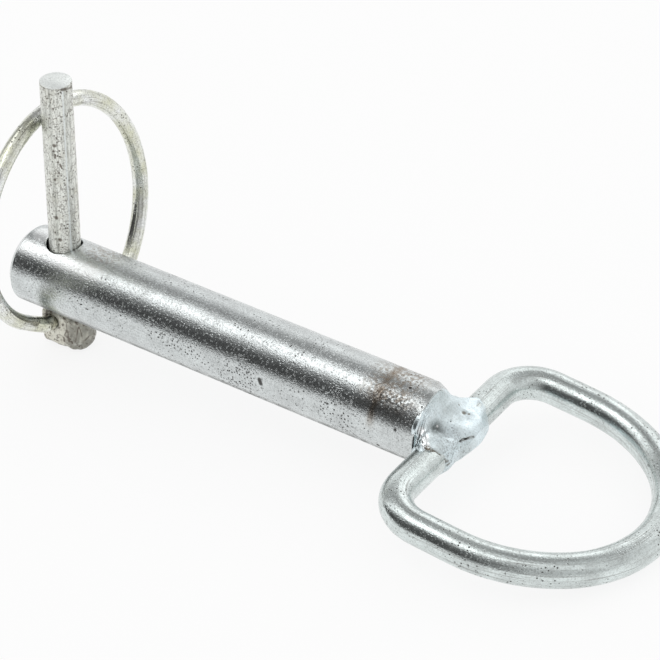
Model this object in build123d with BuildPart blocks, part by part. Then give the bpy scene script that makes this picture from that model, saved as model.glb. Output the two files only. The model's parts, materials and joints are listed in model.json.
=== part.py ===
from build123d import *
from math import asin, atan2, cos, degrees, hypot, radians, sin, sqrt
import os

os.makedirs("parts", exist_ok=True)

# A hitch pin with a welded D-handle, and the lynch pin that locks it.
# Everything is drawn in the pin's own frame: +X runs along the round bar from its free
# end to the handle, +Z runs up the lynch pin, and the origin is where the lynch pin's axis
# meets the bar's. At the end all pieces are laid down together as they rest on a floor.

# Round bar, with the cross hole near its free end
bar_diameter = 20.0
bar_length = 121.0
bar_end_chamfer = 1.5
pin_from_end = 11.5
hole_clearance = 0.6
hole_countersink = 0.3
hole_behind = 0.25
hole_beyond = 0.3

# Lynch pin, a round shank with a forged head under the bar
shank_diameter = 8.0
shank_above_bar = 47.0
shank_tip_chamfer = 0.3
head_length = 12.3
head_width = 8.6
head_height = 10.0
head_behind_shank = 5.7
head_nose_radius = 3.4
head_heel_radius = 1.2
head_bottom_radius = 1.6
head_top_radius = 0.6
head_gap = 0.25
bore_from_heel = 3.3
bore_roof = 0.5

# Spring ring, one turn of wire whose two ends face each other in the head's bore
wire_diameter = 4.1
ring_diameter = 58.4
ring_pitch = 10.2
ring_arcs = 8
ring_lean = 6.3
ring_turn = 2.7
ring_sideways = 3.9
ring_drop = 0.7
ring_rest_gap = 0.25
ring_leg_angle = 36.0
ring_front_lead = 4.5
ring_back_lead = 5.0
ring_front_knee = 6.3
ring_back_knee = 8.2
ring_knee_radius = 5.0
bore_clearance = 0.08
wire_end_gap = 1.0

# D-handle, a bent rod whose ends meet under the weld
rod_diameter = 8.2
handle_width = 62.4
handle_corner_radius = 10.0
handle_straight = 20.0
handle_bow_depth = 34.3
handle_bow_join = 48.0
handle_droop = 4.6
handle_below_axis = 1.7
handle_butt_gap = 0.6
root_gap = 0.4

# Weld, a bead that runs from the bar's end face over the rod and round to its far side.
# Its toes are where it thins out on the rod, and its nose is the lump past the rod.
weld_edge_step = 0.3
weld_toe = 10.8
weld_cover = 1.2
weld_throat = 1.7
weld_throat_half_width = 11.0
weld_throat_half_height = 7.5
weld_shoulder = 3.5
weld_shoulder_half_width = 8.6
weld_shoulder_half_height = 4.2
weld_shoulder_offset = 2.4
weld_nose = 1.4
weld_nose_half_width = 4.8
weld_nose_half_height = 2.1
weld_nose_offset = 3.4
weld_nose_radius = 0.6

bar_radius = bar_diameter / 2
shank_radius = shank_diameter / 2
wire_radius = wire_diameter / 2
rod_radius = rod_diameter / 2
hole_radius = shank_radius + hole_clearance
bore_radius = wire_radius + bore_clearance
bar_end = bar_length - pin_from_end
shank_tip = bar_radius + shank_above_bar
head_top = -bar_radius - head_gap
head_bottom = head_top - head_height
head_nose = head_length - head_behind_shank
hinge_x = bore_from_heel - head_behind_shank
hinge_z = head_top - bore_roof - bore_radius
chord_x = bar_end + root_gap + rod_radius
chord_z = -handle_below_axis

# The round bar: a plain cylinder, chamfered at its free end and drilled across. The lynch
# pin leans in its hole, so the hole's axis lies a little behind and beyond the pin's.
with BuildPart() as pin_bar:
    with BuildSketch(Plane.YZ.offset(-pin_from_end)):
        Circle(bar_radius)
    extrude(amount=bar_length)
    free_end = pin_bar.faces().sort_by(Axis.X)[0]
    chamfer(free_end.edges(), bar_end_chamfer)
    hole_top = Plane(origin=(-hole_behind, hole_beyond, bar_radius), z_dir=(0, 0, 1))
    hole_bottom = Plane(origin=(-hole_behind, hole_beyond, -bar_radius), z_dir=(0, 0, -1))
    with Locations(hole_top, hole_bottom):
        CounterSinkHole(
            radius=hole_radius,
            counter_sink_radius=hole_radius + hole_countersink,
            counter_sink_angle=90,
        )
pin_bar.part.label = "pin_bar"

# The D-handle: half of its centre line is drawn in the handle's own drooping plane,
# mirrored to the other side, and a round rod is swept along it
droop = radians(handle_droop)
handle_plane = Plane(
    origin=(chord_x, 0, chord_z),
    x_dir=(cos(droop), 0, -sin(droop)),
    z_dir=(sin(droop), 0, cos(droop)),
)
handle_half = handle_width / 2
corner_start = (0, handle_half - handle_corner_radius)
corner_finish = (handle_corner_radius, handle_half)
# The bow is an oval of two arcs on each side, a shoulder and a rounder end, which meet
# where both point the same way
join_x = cos(radians(handle_bow_join))
join_y = sin(radians(handle_bow_join))
shoulder_radius = (handle_bow_depth * join_y - handle_half * (1 - join_x)) / (join_x + join_y - 1)
end_radius = (handle_half * join_x - handle_bow_depth * (1 - join_y)) / (join_x + join_y - 1)
with BuildPart() as d_handle:
    with BuildLine(handle_plane) as handle_path:
        Line((0, handle_butt_gap / 2), corner_start)
        RadiusArc(corner_start, corner_finish, handle_corner_radius)
        Line(corner_finish, (handle_straight, handle_half))
        CenterArc(
            (handle_straight, handle_half - shoulder_radius),
            shoulder_radius,
            start_angle=handle_bow_join,
            arc_size=90 - handle_bow_join,
        )
        CenterArc(
            (handle_straight + handle_bow_depth - end_radius, 0),
            end_radius,
            start_angle=0,
            arc_size=handle_bow_join,
        )
        mirror(about=Plane.XZ)
    rod_start = Plane(origin=(chord_x, handle_butt_gap / 2, chord_z), z_dir=(0, 1, 0))
    with BuildSketch(rod_start):
        Circle(rod_radius)
    sweep(path=handle_path.wires()[0])
d_handle.part.label = "d_handle"

# The weld: ellipses from the bar's end face to just past the rod, lofted into one bead,
# with the rod's own space taken out of it. Over the rod's middle the ellipse is as wide
# as makes it sink into the rod at the toes.
weld_root_radius = bar_radius - weld_edge_step
saddle_half_height = rod_radius + weld_cover
saddle_half_width = weld_toe / sqrt(1 - (rod_radius / saddle_half_height) ** 2)
with BuildPart() as weld_bead:
    with BuildSketch(Plane.YZ.offset(bar_end)):
        Circle(weld_root_radius)
    with BuildSketch(Plane.YZ.offset(bar_end + weld_throat)):
        with Locations((0, chord_z / 2)):
            Ellipse(weld_throat_half_width, weld_throat_half_height)
    with BuildSketch(Plane.YZ.offset(chord_x)):
        with Locations((0, chord_z)):
            Ellipse(saddle_half_width, saddle_half_height)
    with BuildSketch(Plane.YZ.offset(chord_x + weld_shoulder)):
        with Locations((weld_shoulder_offset, chord_z)):
            Ellipse(weld_shoulder_half_width, weld_shoulder_half_height)
    with BuildSketch(Plane.YZ.offset(chord_x + rod_radius + weld_nose)):
        with Locations((weld_nose_offset, chord_z)):
            Ellipse(weld_nose_half_width, weld_nose_half_height)
    loft()
    fillet(weld_bead.faces().sort_by(Axis.X)[-1].edges(), weld_nose_radius)
    add(d_handle.part, mode=Mode.SUBTRACT)
weld_bead.part.label = "weld_bead"

# The lynch pin: the shank, and the head as a block rounded at its nose, with the bore
# for the ring across its heel
with BuildPart() as lynch_pin:
    with BuildSketch(Plane.XY.offset(head_top)):
        with Locations((head_nose - head_length / 2, 0)):
            Rectangle(head_length, head_width)
    extrude(amount=-head_height)
    fillet(lynch_pin.edges().filter_by(Axis.Z).group_by(Axis.X)[-1], head_nose_radius)
    fillet(lynch_pin.edges().filter_by(Axis.Z).group_by(Axis.X)[0], head_heel_radius)
    fillet(lynch_pin.faces().sort_by(Axis.Z)[0].edges(), head_bottom_radius)
    fillet(lynch_pin.faces().sort_by(Axis.Z)[-1].edges(), head_top_radius)
    with Locations(Plane(origin=(hinge_x, -head_width / 2, hinge_z), z_dir=(0, -1, 0))):
        Hole(bore_radius)
    with BuildSketch(Plane.XY.offset(head_top)):
        Circle(shank_radius)
    extrude(amount=shank_tip - head_top)
    chamfer(lynch_pin.faces().sort_by(Axis.Z)[-1].edges(), shank_tip_chamfer)
lynch_pin.part.label = "lynch_pin"

# The ring: one open turn that climbs by its pitch, leaning back so that its top lies
# against the shank, with a bent leg from each end to the bore. The turn follows a helix
# in arcs, each of which leaves the last in the same direction.
ring_radius = ring_diameter / 2
lean = radians(ring_lean)
turn = radians(ring_turn)
ring_axis = Vector(cos(turn) * cos(lean), sin(turn) * cos(lean), sin(lean))
ring_down = Vector(cos(turn) * sin(lean), sin(turn) * sin(lean), -cos(lean))
ring_centre_x = ring_radius * sin(lean) - shank_radius - wire_radius - ring_rest_gap
ring_centre = Vector(ring_centre_x, ring_sideways, hinge_z + ring_radius - ring_drop)
turn_share = (360 - 2 * ring_leg_angle) / 360
turn_rise = ring_pitch * turn_share
start_way = ring_down.rotate(Axis((0, 0, 0), ring_axis), -ring_leg_angle)
start_plane = Plane(origin=ring_centre, x_dir=start_way, z_dir=ring_axis).offset(-turn_rise / 2)
ring_helix = start_plane * Helix(
    pitch=ring_pitch,
    height=turn_rise,
    radius=ring_radius,
    lefthand=True,
)
front_end = ring_helix @ 0
back_end = ring_helix @ 1
heading = ring_helix % 0
with BuildPart() as spring_ring:
    with BuildLine() as ring_path:
        FilletPolyline(
            Vector(hinge_x, -wire_end_gap / 2, hinge_z),
            Vector(hinge_x, -ring_front_knee, hinge_z),
            front_end - heading * ring_front_lead,
            front_end,
            radius=ring_knee_radius,
        )
        for count in range(ring_arcs):
            arc_start = ring_helix @ (count / ring_arcs)
            arc_finish = ring_helix @ ((count + 1) / ring_arcs)
            heading = TangentArc(arc_start, arc_finish, tangent=heading) % 1
        FilletPolyline(
            back_end,
            back_end + heading * ring_back_lead,
            Vector(hinge_x, ring_back_knee, hinge_z),
            Vector(hinge_x, wire_end_gap / 2, hinge_z),
            radius=ring_knee_radius,
        )
    with BuildSketch(Plane(origin=(hinge_x, -wire_end_gap / 2, hinge_z), z_dir=(0, -1, 0))):
        Circle(wire_radius)
    sweep(path=ring_path.wires()[0])
spring_ring.part.label = "spring_ring"

# Lying on a floor, the pin stands on the lower edge of the head's nose and on the far
# end of the handle. The line that touches both roundings gives the tilt and the height.
nose_x = head_nose - head_bottom_radius
nose_z = head_bottom + head_bottom_radius
far_x = chord_x + (handle_straight + handle_bow_depth) * cos(droop)
far_z = chord_z - (handle_straight + handle_bow_depth) * sin(droop)
reach = hypot(far_x - nose_x, far_z - nose_z)
tilt = atan2(far_z - nose_z, far_x - nose_x) - asin((rod_radius - head_bottom_radius) / reach)
floor_height = head_bottom_radius + nose_x * sin(tilt) - nose_z * cos(tilt)
low_corner_x = -pin_from_end * cos(tilt) - (bar_radius - bar_end_chamfer) * sin(tilt)
far_side_x = far_x * cos(tilt) + far_z * sin(tilt) + rod_radius
middle_x = (low_corner_x + far_side_x) / 2
at_rest = Location((-middle_x, 0, floor_height), (0, degrees(tilt), 0))

for piece in (pin_bar, d_handle, weld_bead, lynch_pin, spring_ring):
    piece.part.locate(at_rest)
export_step(pin_bar.part, "parts/pin_bar.step")
export_step(d_handle.part, "parts/d_handle.step")
export_step(weld_bead.part, "parts/weld_bead.step")
export_step(lynch_pin.part, "parts/lynch_pin.step")
export_step(spring_ring.part, "parts/spring_ring.step")
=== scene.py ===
import json
from math import atan2, ceil, cos, degrees, exp, hypot, pi, radians, sin, sqrt, tan

import bmesh
import bpy
from mathutils import Matrix, Vector, noise


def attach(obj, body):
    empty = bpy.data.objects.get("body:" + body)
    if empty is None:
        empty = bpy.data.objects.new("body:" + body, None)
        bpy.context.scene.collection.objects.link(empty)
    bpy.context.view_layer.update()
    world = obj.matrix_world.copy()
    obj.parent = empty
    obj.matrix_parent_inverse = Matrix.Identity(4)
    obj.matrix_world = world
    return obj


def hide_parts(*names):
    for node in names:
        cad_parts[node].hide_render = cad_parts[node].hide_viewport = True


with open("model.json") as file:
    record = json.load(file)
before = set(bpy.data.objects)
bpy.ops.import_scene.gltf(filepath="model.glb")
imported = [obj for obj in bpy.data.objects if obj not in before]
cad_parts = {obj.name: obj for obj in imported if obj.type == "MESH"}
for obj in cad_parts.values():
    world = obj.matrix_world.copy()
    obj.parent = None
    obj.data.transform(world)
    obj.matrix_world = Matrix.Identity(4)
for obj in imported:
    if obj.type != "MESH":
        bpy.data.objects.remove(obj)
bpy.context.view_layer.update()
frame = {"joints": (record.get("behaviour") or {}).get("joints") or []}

bl_info = {
    "name": "Hitch Pin and Lynch Pin",
    "version": (1, 0, 0),
    "blender": (4, 5, 0),
    "location": "View3D > Sidebar > Hitch Pin",
    "description": "Builds the visible surfaces of a zinc plated hitch pin and its lynch pin",
    "category": "Object",
}

MM = 0.001

# The pin's own frame comes from the joints: +Z up the lynch pin, +X along the bar to the
# handle. The ring's bore is known in both frames, which gives the origin.
JOINTS = {joint["name"]: joint for joint in frame["joints"]}
PIN_UP = -Vector(JOINTS["lynch_pin_slide"]["axis"]).normalized()
PIN_SIDE = Vector((0, 1, 0))
PIN_ALONG = PIN_SIDE.cross(PIN_UP)
BORE_X = -2.4 * MM
BORE_Z = -12.88 * MM
PIN_ORIGIN = Vector(JOINTS["ring_swing"]["pos_m"]) - PIN_ALONG * BORE_X - PIN_UP * BORE_Z
LAID = Matrix.Translation(PIN_ORIGIN) @ Matrix((PIN_ALONG, PIN_SIDE, PIN_UP)).transposed().to_4x4()


# Meshes


def put_down(name, bm, slot, body, *nodes):
    """Lays a mesh drawn in the pin's own frame down at rest, and rides it on its body."""
    if not bm.faces:
        raise RuntimeError(name + " came out with no faces")
    mesh = bpy.data.meshes.new(name)
    bm.to_mesh(mesh)
    bm.free()
    mesh.transform(LAID)
    mesh.shade_smooth()
    piece = bpy.data.objects.new(name, mesh)
    bpy.context.scene.collection.objects.link(piece)
    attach(piece, body)
    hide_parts(*nodes)
    return piece


def straight_layer(bm):
    """The place of each point on the piece as if it were straight, for grain that follows it."""
    return bm.verts.layers.float_vector.new("straight")


def ring_faces(bm, one, two):
    """Joins two closed rows of points with quads."""
    count = len(one)
    for i in range(count):
        j = (i + 1) % count
        bm.faces.new((one[i], one[j], two[j], two[i]))


def solid_rows(*solids):
    """A closed mesh through each set of rows of points, capped at both ends."""
    bm = bmesh.new()
    for rows in solids:
        loops = [[bm.verts.new(point) for point in row] for row in rows]
        for one, two in zip(loops, loops[1:]):
            ring_faces(bm, one, two)
        for loop in (loops[0], loops[-1]):
            bm.faces.new(loop)
    bmesh.ops.recalc_face_normals(bm, faces=bm.faces)
    return bm


def evaluated(bm, *recipes):
    """Runs modifiers over a mesh and gives the result back as a new mesh to work on."""
    mesh = bpy.data.meshes.new("work")
    bm.to_mesh(mesh)
    bm.free()
    holder = bpy.data.objects.new("work", mesh)
    bpy.context.scene.collection.objects.link(holder)
    for kind, settings in recipes:
        modifier = holder.modifiers.new(kind, kind)
        for name, value in settings.items():
            setattr(modifier, name, value)
    result = bpy.data.meshes.new_from_object(
        holder.evaluated_get(bpy.context.evaluated_depsgraph_get())
    )
    bpy.data.objects.remove(holder)
    bpy.data.meshes.remove(mesh)
    out = bmesh.new()
    out.from_mesh(result)
    bpy.data.meshes.remove(result)
    return out


def rounded_profile(corners, radius, steps=5):
    """A polyline of (place, radius) pairs with its inner corners rounded."""
    points = [Vector(corners[0])]
    for before, corner, after in zip(corners, corners[1:], corners[2:]):
        before, corner, after = Vector(before), Vector(corner), Vector(after)
        back = (before - corner).normalized()
        ahead = (after - corner).normalized()
        room = min((before - corner).length, (after - corner).length) / 2.2
        reach = min(radius / tan(back.angle(ahead) / 2), room)
        start = corner + back * reach
        finish = corner + ahead * reach
        for step in range(steps + 1):
            t = step / steps
            points.append(start * (1 - t) ** 2 + corner * 2 * t * (1 - t) + finish * t * t)
    points.append(Vector(corners[-1]))
    return points


def rounded_path(corners, radius, step):
    """Points along a polyline in space whose corners are rounded by arcs."""
    points = [Vector(corners[0])]
    for before, corner, after in zip(corners, corners[1:], corners[2:]):
        back = (before - corner).normalized()
        ahead = (after - corner).normalized()
        half = back.angle(ahead) / 2
        reach = radius / tan(half)
        middle = corner + (back + ahead).normalized() * radius / sin(half)
        from_middle = corner + back * reach - middle
        turn = pi - 2 * half
        axis = from_middle.cross(corner + ahead * reach - middle).normalized()
        count = max(4, ceil(turn * radius / step))
        for i in range(count + 1):
            points.append(middle + Matrix.Rotation(turn * i / count, 3, axis) @ from_middle)
    points.append(Vector(corners[-1]))
    return points


def evenly(points, step):
    """The same path with points at even steps."""
    lengths = [(b - a).length for a, b in zip(points, points[1:])]
    count = max(2, round(sum(lengths) / step))
    spacing = sum(lengths) / count
    result = [points[0]]
    place = 0.0
    target = spacing
    for a, b, length in zip(points, points[1:], lengths):
        while length > 0 and place + length >= target - 1e-12 and len(result) < count:
            result.append(a.lerp(b, (target - place) / length))
            target += spacing
        place += length
    result.append(points[-1])
    return result


def swept_rod(points, radius, sides, shape=None, across=None):
    """A rod along a path. shape(length, turn) adds to the radius where it isn't quite round."""
    bm = bmesh.new()
    layer = straight_layer(bm)
    rows = []
    length = 0.0
    heading = (points[1] - points[0]).normalized()
    across = across or heading.orthogonal().normalized()
    for i, point in enumerate(points):
        ahead = points[min(i + 1, len(points) - 1)] - points[max(i - 1, 0)]
        ahead.normalize()
        across = (heading.rotation_difference(ahead) @ across).normalized()
        heading = ahead
        other = heading.cross(across)
        if i:
            length += (point - points[i - 1]).length
        row = []
        for k in range(sides):
            turn = 2 * pi * k / sides
            reach = radius + (shape(length, turn) if shape else 0.0)
            vert = bm.verts.new(point + (across * cos(turn) + other * sin(turn)) * reach)
            vert[layer] = Vector((length, reach * cos(turn), reach * sin(turn)))
            row.append(vert)
        rows.append(row)
    for one, two in zip(rows, rows[1:]):
        ring_faces(bm, one, two)
    for row, point, x in ((rows[0], points[0], 0.0), (rows[-1], points[-1], length)):
        middle = bm.verts.new(point)
        middle[layer] = Vector((x, 0, 0))
        for i in range(sides):
            bm.faces.new((row[i], row[(i + 1) % sides], middle))
    bmesh.ops.recalc_face_normals(bm, faces=bm.faces)
    return bm


def gauss(value, centre, width):
    """A smooth bump of height 1 at its centre."""
    return exp(-(((value - centre) / width) ** 2))


def held(value):
    """The value, held between 0 and 1."""
    return min(1.0, max(0.0, value))


# Finishes


def feed(tree, socket, source):
    """Links a source to a socket, or sets the socket to a plain value."""
    if isinstance(source, bpy.types.NodeSocket):
        tree.links.new(source, socket)
    else:
        socket.default_value = source


def add_node(tree, kind, inputs=None, **settings):
    """Adds a shader node with its settings and what goes into its sockets."""
    node = tree.nodes.new("ShaderNode" + kind)
    for name, value in settings.items():
        setattr(node, name, value)
    for socket, source in (inputs or {}).items():
        feed(tree, node.inputs[socket], source)
    return node


def maths(tree, operation, one, two):
    return add_node(tree, "Math", {0: one, 1: two}, operation=operation).outputs[0]


def spread(tree, value, low, high, start=0.0, finish=1.0):
    """Maps a value from low..high to start..finish, and holds it there."""
    inputs = {"Value": value, "From Min": low, "From Max": high, "To Min": start, "To Max": finish}
    return add_node(tree, "MapRange", inputs, clamp=True).outputs["Result"]


def blended(tree, factor, one, two):
    return add_node(tree, "Mix", {0: factor, 2: one, 3: two}, data_type="FLOAT").outputs[0]


def rgba(color):
    return (color[0], color[1], color[2], 1.0)


class Finish:
    """One surface finish, with a word for each kind of mark on it. Sizes are in mm."""

    def __init__(self, name, metallic=1.0):
        self.material = bpy.data.materials.new(name)
        self.material.use_nodes = True
        self.tree = self.material.node_tree
        self.place = self.node("Attribute", attribute_name="straight").outputs["Vector"]
        self.color = self.rough = self.normal = None
        self.metallic = metallic

    def node(self, kind, inputs=None, **settings):
        return add_node(self.tree, kind, inputs, **settings)

    def times(self, one, two):
        return maths(self.tree, "MULTIPLY", one, two)

    def spread(self, value, low, high, start=0.0, finish=1.0):
        return spread(self.tree, value, low, high, start, finish)

    def mixed(self, factor, one, two):
        return self.node("Mix", {0: factor, 6: one, 7: two}, data_type="RGBA").outputs[2]

    def vector(self, operation, one, two, output=0):
        return self.node("VectorMath", {0: one, 1: two}, operation=operation).outputs[output]

    def parts(self):
        return self.node("SeparateXYZ", {0: self.place}).outputs

    def shifted(self, x):
        """The place shifted along the piece, for a second pattern unlike the first."""
        return self.vector("ADD", self.place, (x * MM, 0.0, 0.0))

    def stretched(self, share):
        """The place with its lengthwise part scaled, for a pattern drawn out along the piece."""
        return self.vector("MULTIPLY", self.place, (share, 1.0, 1.0))

    def cloud(self, size, detail=3.0, rough=0.5, place=None, low=0.35, high=0.65):
        """Soft patches of a size."""
        inputs = {"Vector": place or self.place, "Scale": 1.0 / (size * MM)}
        inputs.update({"Detail": detail, "Roughness": rough})
        return self.spread(self.node("TexNoise", inputs).outputs["Fac"], low, high)

    def streaks(self, width, length, low=0.45, high=0.7, detail=3.0):
        """Lines along the piece, of a width and a length."""
        return self.cloud(width, detail, 0.6, self.stretched(width / length), low, high)

    def cells(self, feature, size, place, width, core):
        """A Voronoi pattern: 1 within the core's share of a width, fading out to 0 at the width."""
        inputs = {"Vector": place, "Scale": 1.0 / (size * MM)}
        gap = self.node("TexVoronoi", inputs, feature=feature).outputs["Distance"]
        return self.spread(gap, width * core, width, 1.0, 0.0)

    def specks(self, spacing, share, place=None):
        """Small round marks, their radius a share of the spacing between them."""
        return self.cells("F1", spacing, place or self.place, share, 0.6)

    def crazing(self, size, width):
        """A net of fine lines, its cells longer along the piece than across."""
        return self.cells("DISTANCE_TO_EDGE", size, self.stretched(0.45), width, 0.4)

    def gap_to_run(self, start, run):
        """How far the skin lies from a straight run that begins at start."""
        offset = self.vector("SUBTRACT", self.place, start)
        share = self.vector("DOT_PRODUCT", offset, run / run.length_squared, "Value")
        held = self.spread(share, 0.0, 1.0)
        nearest = self.node("VectorMath", {0: run, "Scale": held}, operation="SCALE").outputs[0]
        return self.vector("DISTANCE", offset, nearest, "Value")

    def mark(self, *points, reach, soft=0.5):
        """A spot, or a bent line through several points: 1 on it, fading out to 0 at its reach."""
        points = [Vector(point) * MM for point in points]
        if len(points) == 1:
            gaps = [self.vector("DISTANCE", self.place, points[0], "Value")]
        else:
            gaps = [self.gap_to_run(one, two - one) for one, two in zip(points, points[1:])]
        reach *= MM
        return self.any_of(*[self.spread(gap, reach * (1 - soft), reach, 1.0, 0.0) for gap in gaps])

    def marks(self, *all_marks, placed=None):
        """Several marks, each given as its points and then its reach. Where a point isn't given
        as x, y and z, placed makes them from it."""
        masks = []
        for *points, reach in all_marks:
            if placed:
                points = [placed(*point) for point in points]
            masks.append(self.mark(*points, reach=reach))
        return self.any_of(*masks)

    def stretch(self, value, start, finish, fade):
        """1 where a value lies between start and finish, fading at both ends."""
        rise = self.spread(value, start - fade, start + fade)
        fall = self.spread(value, finish - fade, finish + fade, 1.0, 0.0)
        return self.times(rise, fall)

    def between(self, axis, start, finish, fade):
        """A stretch of the piece along one axis, fading at both ends."""
        return self.stretch(self.parts()[axis], start * MM, finish * MM, fade * MM)

    def round_it(self, start, finish, fade, side=1.0):
        """A stretch of the way round a rod, in degrees from its +Y side, or -Y with side -1."""
        parts = self.parts()
        angle = maths(self.tree, "ARCTAN2", parts["Z"], self.times(parts["Y"], side))
        return self.stretch(angle, radians(start), radians(finish), radians(fade))

    def any_of(self, *masks):
        """The strongest of several masks."""
        whole = masks[0]
        for mask in masks[1:]:
            whole = maths(self.tree, "MAXIMUM", whole, mask)
        return whole

    def raise_by(self, height, depth):
        """Adds fine relief: height is 0 to 1, depth is how far 1 stands up."""
        inputs = {"Strength": 1.0, "Distance": depth * MM, "Height": height}
        if self.normal:
            inputs["Normal"] = self.normal
        self.normal = self.node("Bump", inputs).outputs["Normal"]

    def dent(self, mask, depth):
        self.raise_by(self.spread(mask, 0.0, 1.0, 1.0, 0.0), depth)

    def paint(self, mask, share, tint):
        """Lays a tint over the colour where the mask is, by its share."""
        self.color = self.mixed(self.times(mask, share), self.color, rgba(tint))

    def roughen(self, mask, share):
        self.rough = maths(self.tree, "ADD", self.rough, self.times(mask, share))

    def finish(self):
        shader = self.tree.nodes["Principled BSDF"]
        sources = {"Base Color": self.color, "Roughness": self.rough, "Metallic": self.metallic}
        for socket, source in sources.items():
            feed(self.tree, shader.inputs[socket], source)
        feed(self.tree, shader.inputs["Normal"], self.normal)
        return self.material


def zinc_skin(name, look, grain, polish, freckled, lined, pitted=0.85):
    """Bright zinc: a fine sparkling grain, cloudy polish, draw lines, freckles and dark pits."""
    skin = Finish(name)
    skin.raise_by(skin.cloud(0.9, 2.0, 0.5, low=0.2, high=0.8), grain * 0.4)
    skin.raise_by(skin.specks(0.7, 0.34, skin.shifted(7)), grain * 0.7)
    skin.raise_by(skin.cloud(0.3, 3.0, 0.6, low=0.2, high=0.8), grain * 0.8)
    clouds = skin.cloud(6, 4.0, 0.6)
    skin.color = skin.mixed(clouds, rgba(look.pale), rgba(look.grey))
    skin.rough = skin.spread(clouds, 0.0, 1.0, *polish)
    skin.paint(skin.streaks(0.35, 14, 0.52, 0.72), lined, look.line)
    gleams = skin.cloud(0.5, 2.0, 0.55, skin.shifted(3), low=0.5, high=0.66)
    skin.paint(gleams, freckled * 0.5, look.bright)
    skin.paint(skin.cloud(0.42, 2.0, 0.55, low=0.48, high=0.64), freckled, look.line)
    pits = skin.times(skin.specks(0.95, 0.26), skin.cloud(9, 2.0, 0.5, low=0.46, high=0.6))
    skin.paint(pits, pitted, look.pit)
    skin.dent(pits, 0.06 * pitted)
    skin.roughen(pits, 0.3)
    return skin


# Sizes and colours that a user would change


def size_of(label, text, size_mm):
    return bpy.props.FloatProperty(
        name=label, description=text, default=size_mm * MM, min=0.0,
        subtype="DISTANCE", unit="LENGTH",
    )


def turn_of(label, text, turn):
    return bpy.props.FloatProperty(
        name=label, description=text, default=radians(turn), subtype="ANGLE", unit="ROTATION"
    )


def place_of(label, text, place):
    return bpy.props.FloatVectorProperty(
        name=label, description=text, default=place, size=3, subtype="TRANSLATION", unit="LENGTH"
    )


def color_of(label, text, color):
    return bpy.props.FloatVectorProperty(
        name=label, description=text, default=color, size=3, min=0.0, max=1.0, subtype="COLOR"
    )


class BarLook(bpy.types.PropertyGroup):
    radius: size_of("Radius", "Radius of the round bar", 10.0)
    free_end: size_of("Free end", "From the cross hole to the free end", 11.5)
    weld_end: size_of("Weld end", "From the cross hole to the end under the weld", 109.5)
    chamfer: size_of("Chamfer", "Chamfer of the free end", 1.5)
    hole_radius: size_of("Hole radius", "Radius of the cross hole", 4.55)
    hole_behind: size_of("Hole behind", "The hole's axis behind the lynch pin's", 0.4)
    hole_beyond: size_of("Hole beyond", "The hole's axis beyond the lynch pin's", 0.3)
    countersink: size_of("Countersink", "How far the hole's rim is opened", 0.25)
    pale: color_of("Pale zinc", "The bright plating", (0.70, 0.74, 0.74))
    grey: color_of("Grey zinc", "The cloudy plating", (0.58, 0.61, 0.61))
    # Bright zinc also colours the painted highlight band and the painted highlight patch by the
    # hole
    bright: color_of("Bright zinc", "Gleams, and the bright patch by the hole", (0.92, 0.94, 0.94))
    line: color_of("Draw lines", "Lines along the bar", (0.32, 0.33, 0.33))
    pit: color_of("Pits", "Small dark pits", (0.035, 0.03, 0.027))
    rust: color_of("Heat tint", "Brown tint beside the weld", (0.26, 0.21, 0.16))
    # Colour of the painted dark reflection: a broken dark band low on the near flank, standing in
    # for the dark room the bar mirrors there
    painted_dark_reflection: color_of("Painted_dark_reflection", "Broken grime low on the near flank", (0.16, 0.16, 0.15))


class HandleLook(bpy.types.PropertyGroup):
    radius: size_of("Rod radius", "Radius of the bent rod", 4.1)
    half_width: size_of("Half width", "Half the handle's width, at the rod's centre", 31.2)
    corner: size_of("Corner radius", "Bend beside the weld", 10.0)
    straight: size_of("Straight", "From the rod across the bar to the start of the bow", 20.0)
    bow: size_of("Bow depth", "Depth of the curved end", 34.3)
    bow_join: turn_of("Bow join", "Where the bow's round end meets its shoulder", 48)
    chord_x: size_of("Place along", "The rod across the bar, from the cross hole", 114.0)
    below: size_of("Below", "The rod across the bar, below the bar's axis", 1.7)
    droop: turn_of("Droop", "How far the handle droops from the bar's line", 4.6)
    pale: color_of("Pale zinc", "The bright plating", (0.76, 0.83, 0.82))
    grey: color_of("Grey zinc", "The cloudy plating", (0.60, 0.65, 0.64))
    bright: color_of("Bright zinc", "Gleams", (0.94, 0.97, 0.97))
    line: color_of("Draw lines", "Dark lines along the rod", (0.25, 0.25, 0.24))
    pit: color_of("Pits", "Small dark pits", (0.05, 0.042, 0.036))


class RingLook(bpy.types.PropertyGroup):
    radius: size_of("Wire radius", "Radius of the ring's wire", 2.05)
    ring_radius: size_of("Ring radius", "Radius of the ring at the wire's centre", 29.2)
    pitch: size_of("Pitch", "How far one turn would climb", 10.2)
    sideways: size_of("Sideways", "How far the ring sits to one side", 3.9)
    pale: color_of("Pale zinc", "The bright plating", (0.87, 0.89, 0.88))
    grey: color_of("Yellow zinc", "The yellower plating", (0.70, 0.71, 0.57))
    bright: color_of("Bright zinc", "Gleams", (0.97, 0.98, 0.99))
    line: color_of("Draw lines", "Dark lines along the wire", (0.20, 0.19, 0.16))
    pit: color_of("Specks", "Small dark specks", (0.05, 0.042, 0.036))


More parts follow.
